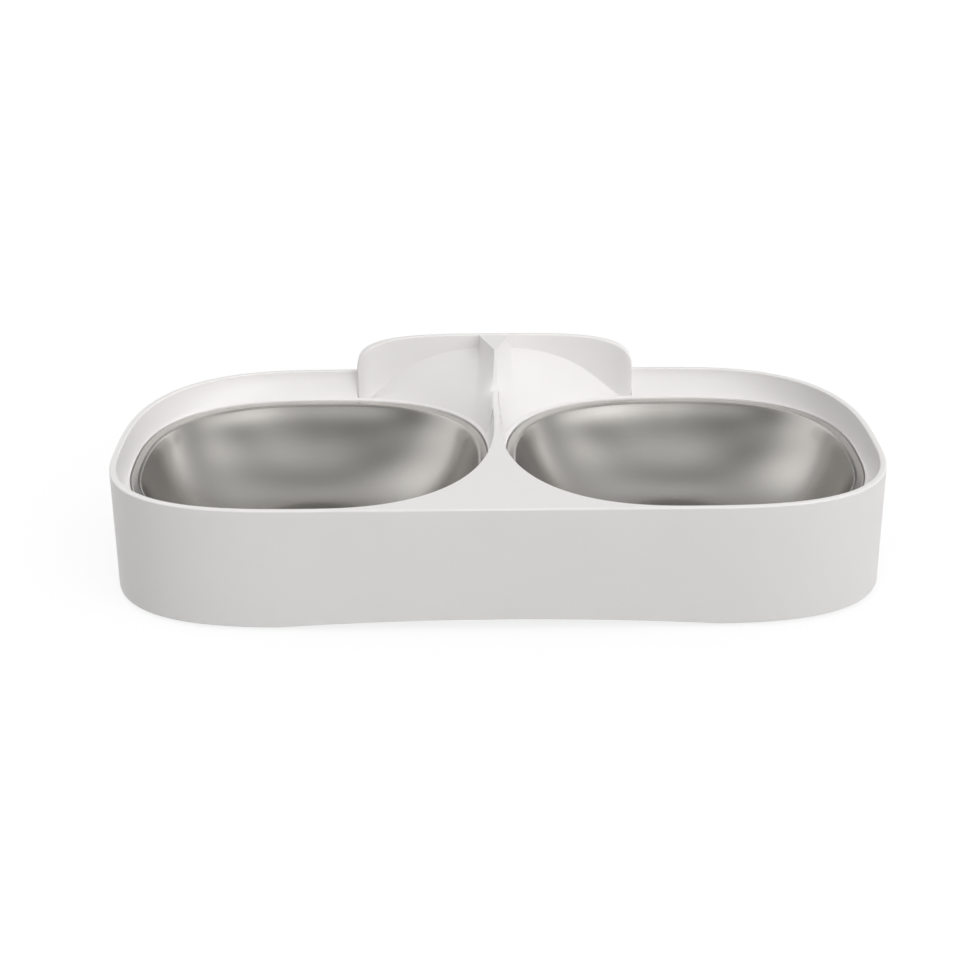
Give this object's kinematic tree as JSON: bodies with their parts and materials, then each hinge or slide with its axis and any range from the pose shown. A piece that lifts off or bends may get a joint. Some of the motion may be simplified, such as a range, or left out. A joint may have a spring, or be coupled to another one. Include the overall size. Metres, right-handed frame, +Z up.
{
  "type": "double pet bowl",
  "caption": "Wide squircle food tray for a pet with drop-in steel bowls side by side and a lift-off splitter whose ramps part falling kibble to both of them.",
  "frame": {"origin": "on the floor under the middle of the tray, midway between its sides and between its front and rear", "axes": "+X to the right as seen from the front, along the two bowls; +Y to the rear, where the splitter stands; +Z up"},
  "size_m": [0.36, 0.185, 0.0774],
  "materials": {
    "tray_plastic": "white injection-moulded plastic, satin gloss",
    "splitter_plastic": "white injection-moulded plastic, satin gloss",
    "bowl_steel": "drawn stainless steel, satin",
    "foot_silicone": "pale moulded silicone, matt"
  },
  "bodies": {
    "tray": {"tray": "tray_plastic", "front_left_foot": "foot_silicone", "front_right_foot": "foot_silicone", "rear_left_foot": "foot_silicone", "rear_right_foot": "foot_silicone"},
    "splitter": {"splitter": "splitter_plastic"},
    "left_bowl": {"left_bowl": "bowl_steel"},
    "right_bowl": {"right_bowl": "bowl_steel"}
  },
  "joints": [
    {"name": "splitter_lift", "type": "slide", "parent": "tray", "child": "splitter", "axis": [0, 0, 1], "range_m": [0, 0.03]},
    {"name": "left_bowl_lift", "type": "slide", "parent": "tray", "child": "left_bowl", "axis": [0, 0, 1], "range_m": [0, 0.06]},
    {"name": "right_bowl_lift", "type": "slide", "parent": "tray", "child": "right_bowl", "axis": [0, 0, 1], "range_m": [0, 0.06]}
  ]
}
